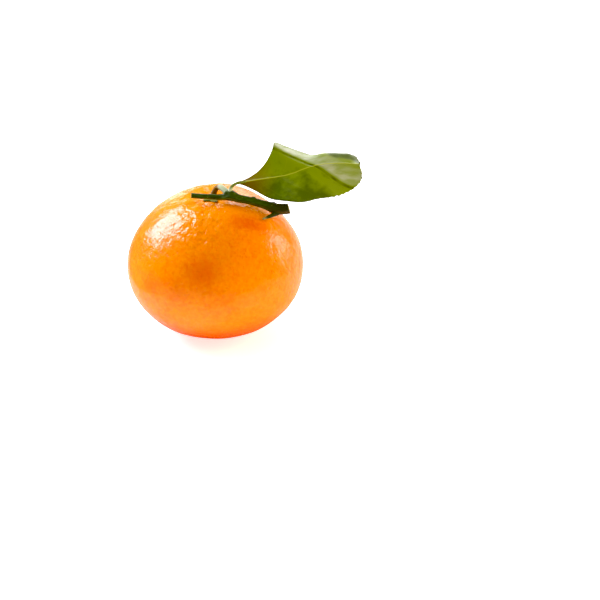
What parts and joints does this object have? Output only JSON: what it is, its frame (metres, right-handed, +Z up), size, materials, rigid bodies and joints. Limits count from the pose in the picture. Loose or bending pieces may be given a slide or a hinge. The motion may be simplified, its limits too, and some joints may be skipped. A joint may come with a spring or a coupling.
{
  "type": "mandarin",
  "caption": "Whole squat round citrus fruit with its green calyx, a short arched stalk, a cut piece of woody twig and a folded leaf, resting on a small flat spot.",
  "frame": {"origin": "middle of the small flat spot that the fruit rests on", "axes": "+Z up towards the stem, -Y towards the front, +X the side that the leaf points to"},
  "size_m": [0.0832, 0.0617, 0.0653],
  "materials": {
    "rind": "glossy, finely pitted with oil glands",
    "calyx": "dry, matt",
    "green_stalk": "satin",
    "twig_bark": "satin green bark",
    "leaf": "waxy, glossy above and matt below"
  },
  "bodies": {
    "root": {"fruit": "rind", "calyx": "calyx", "fruit_stalk": "green_stalk", "twig": "twig_bark", "leaf_stalk": "green_stalk", "leaf_blade": "leaf"}
  },
  "joints": []
}
